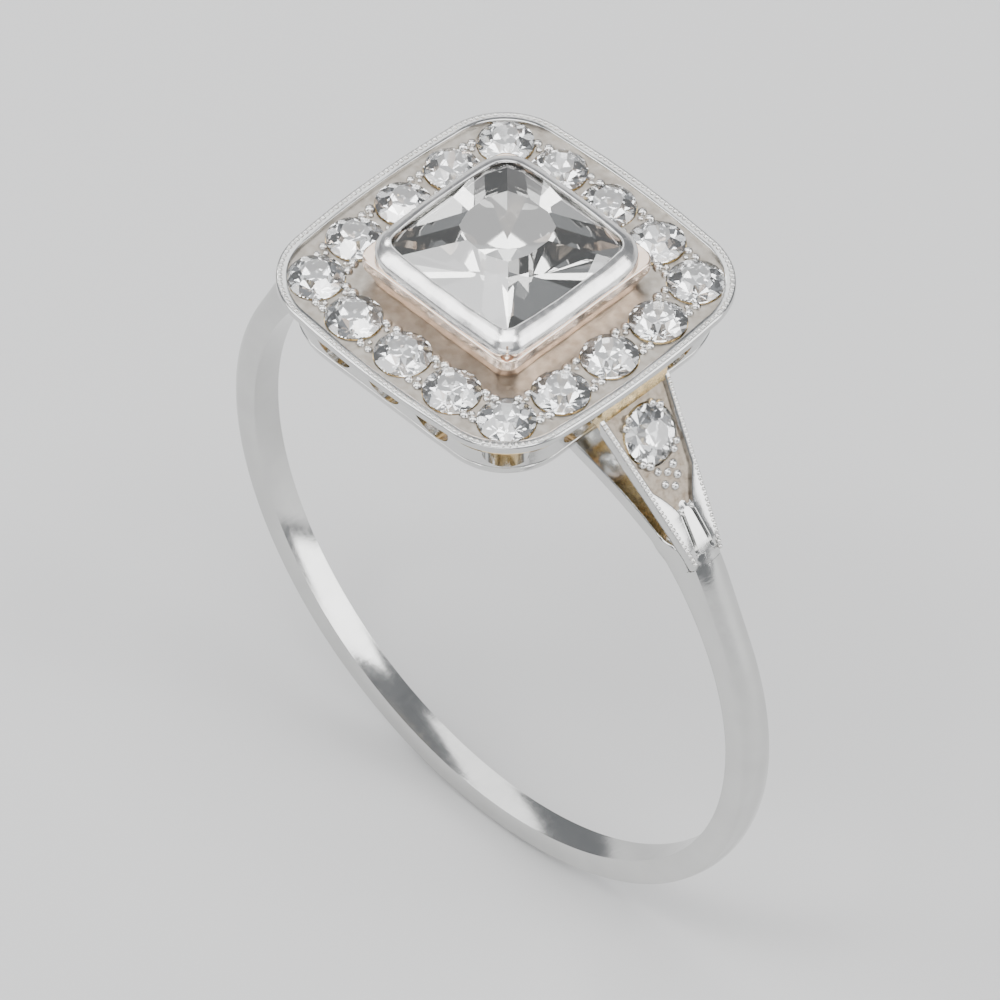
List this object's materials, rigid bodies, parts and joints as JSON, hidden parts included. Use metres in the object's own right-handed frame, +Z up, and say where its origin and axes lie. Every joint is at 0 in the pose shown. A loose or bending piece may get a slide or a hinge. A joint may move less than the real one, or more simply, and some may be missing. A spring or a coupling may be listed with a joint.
{
  "type": "engagement ring",
  "caption": "Cushion-square diamond cluster ring with a raised collet, sunk stone border, arcaded gallery and slim forked shank with stone-set shoulders.",
  "frame": {"origin": "centre of the finger hole, on its axis and midway between the ring's two sides", "axes": "+Y along the finger hole, +Z up through the middle of the head, +X to the right-hand shoulder"},
  "size_m": [0.0188, 0.0096, 0.0225],
  "materials": {
    "platinum": "polished platinum, softly worn, bright lip and shank",
    "rose_gold": "polished pale rose gold step and sleeve of the collet",
    "yellow_gold": "soft-polished yellow gold lining",
    "diamond": "clear cut stone, very faintly warm"
  },
  "bodies": {
    "root": {"shank": "platinum", "shoulder_left": "platinum", "shoulder_right": "platinum", "gallery_rail": "platinum", "gallery_wall": "platinum", "cluster_plate": "platinum", "collet": "platinum", "shoulder_lining_left": "yellow_gold", "shoulder_lining_right": "yellow_gold", "plate_lining": "yellow_gold", "collet_foot": "rose_gold", "shoulder_diamond_left": "diamond", "shoulder_diamond_right": "diamond", "centre_diamond": "diamond", "halo_diamond_01": "diamond", "halo_diamond_02": "diamond", "halo_diamond_03": "diamond", "halo_diamond_04": "diamond", "halo_diamond_05": "diamond", "halo_diamond_06": "diamond", "halo_diamond_07": "diamond", "halo_diamond_08": "diamond", "halo_diamond_09": "diamond", "halo_diamond_10": "diamond", "halo_diamond_11": "diamond", "halo_diamond_12": "diamond", "halo_diamond_13": "diamond", "halo_diamond_14": "diamond", "halo_diamond_15": "diamond", "halo_diamond_16": "diamond"}
  },
  "joints": []
}
